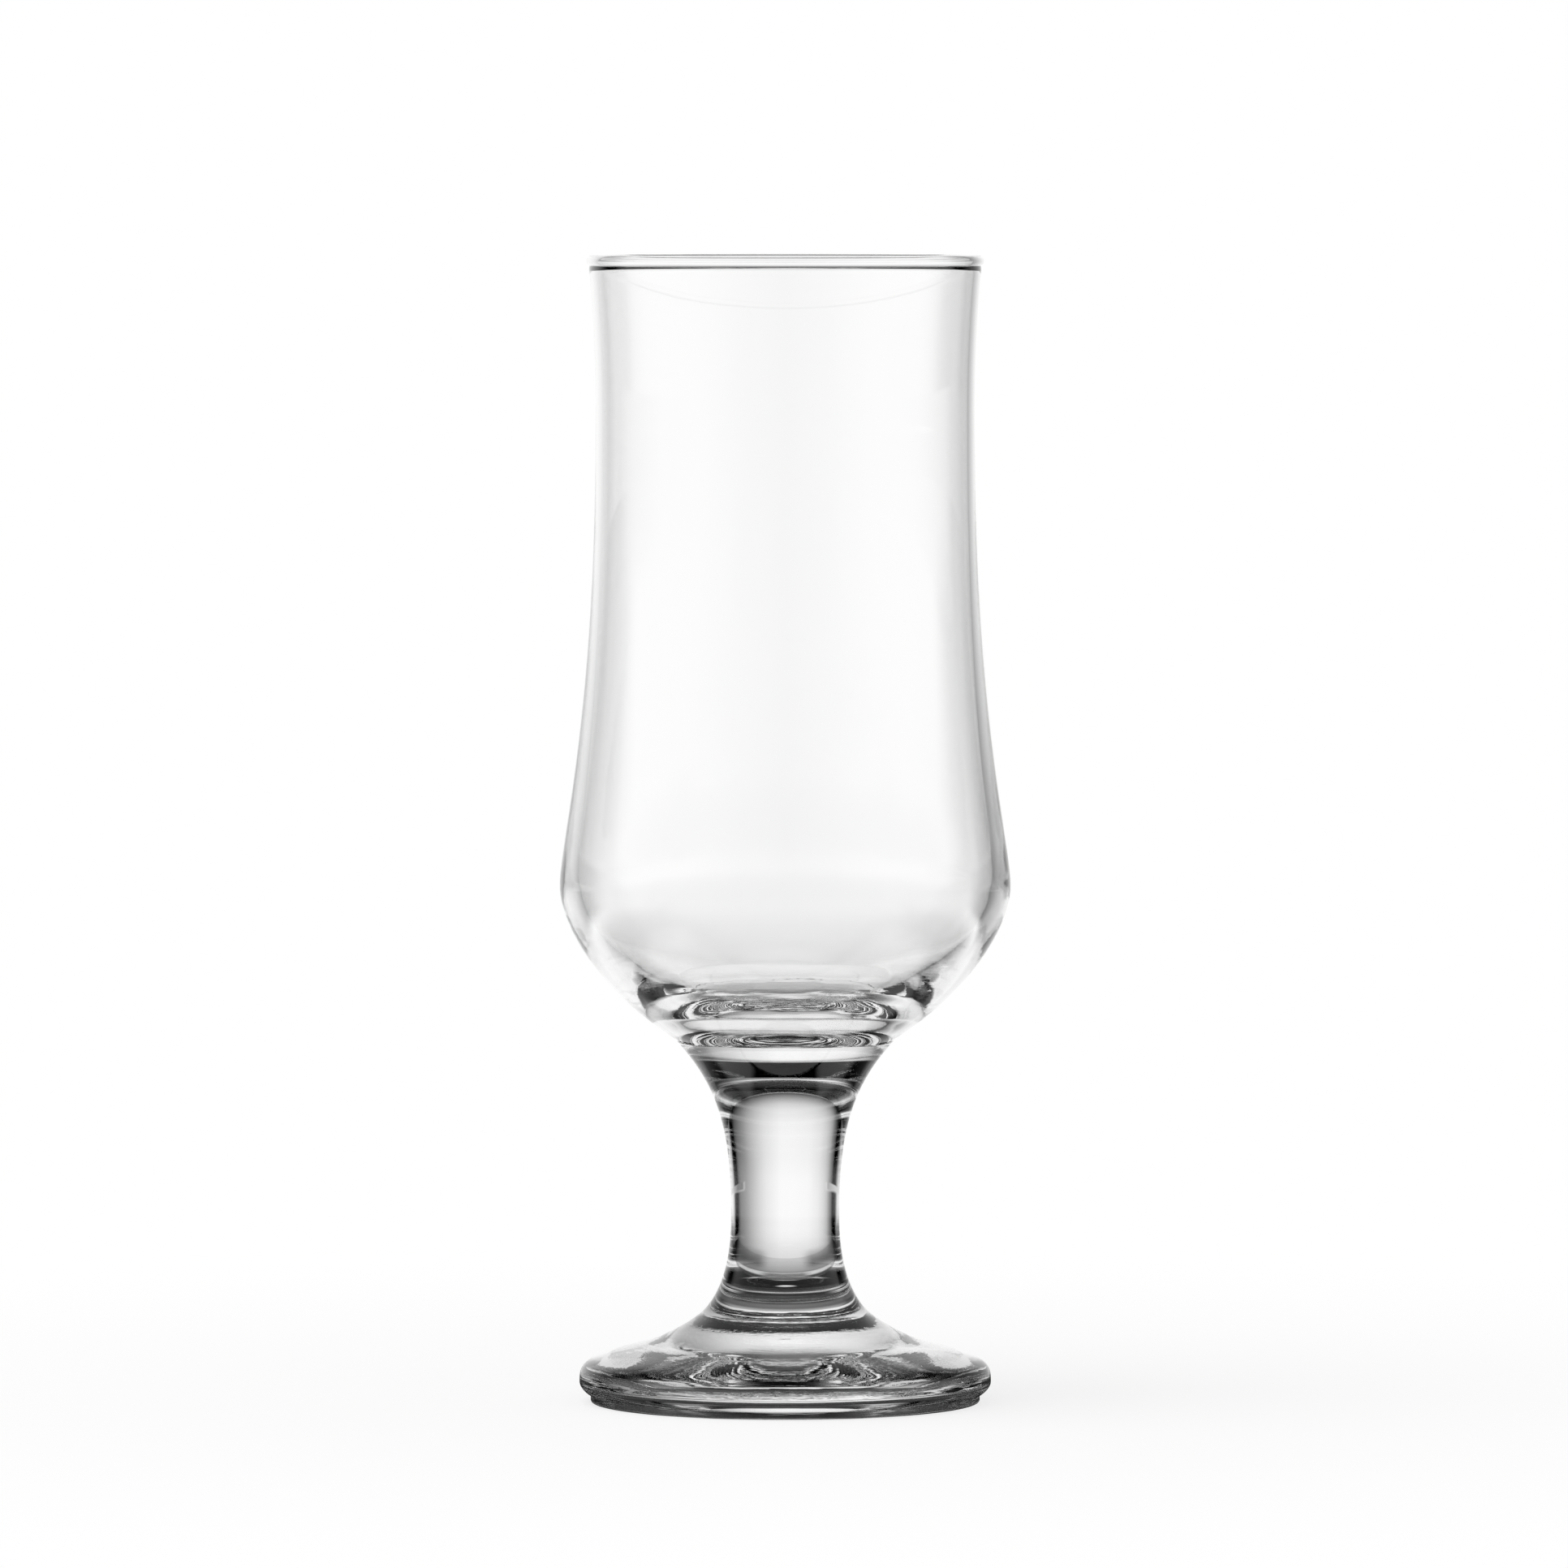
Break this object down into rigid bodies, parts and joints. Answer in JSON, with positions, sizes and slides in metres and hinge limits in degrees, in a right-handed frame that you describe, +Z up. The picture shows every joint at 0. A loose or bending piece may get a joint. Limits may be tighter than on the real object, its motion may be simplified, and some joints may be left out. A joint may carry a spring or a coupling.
{
  "type": "pilsner glass",
  "caption": "Clear footed pilsner glass with a tall waisted bowl that swells to a low belly, a short solid stem and a round foot with a standing ring.",
  "frame": {"origin": "centre of the standing ring, on the surface that the glass stands on", "axes": "+Z up along the glass's axis, from the foot to the rim; X and Y are level and alike"},
  "size_m": [0.0742, 0.0742, 0.189],
  "materials": {
    "bowl_glass": "clear soda-lime glass, blown, fire polished",
    "stem_glass": "clear soda-lime glass, pressed, with faint press ripples",
    "foot_glass": "clear soda-lime glass, pressed, fire polished"
  },
  "bodies": {
    "root": {"bowl": "bowl_glass", "stem": "stem_glass", "foot": "foot_glass"}
  },
  "joints": []
}
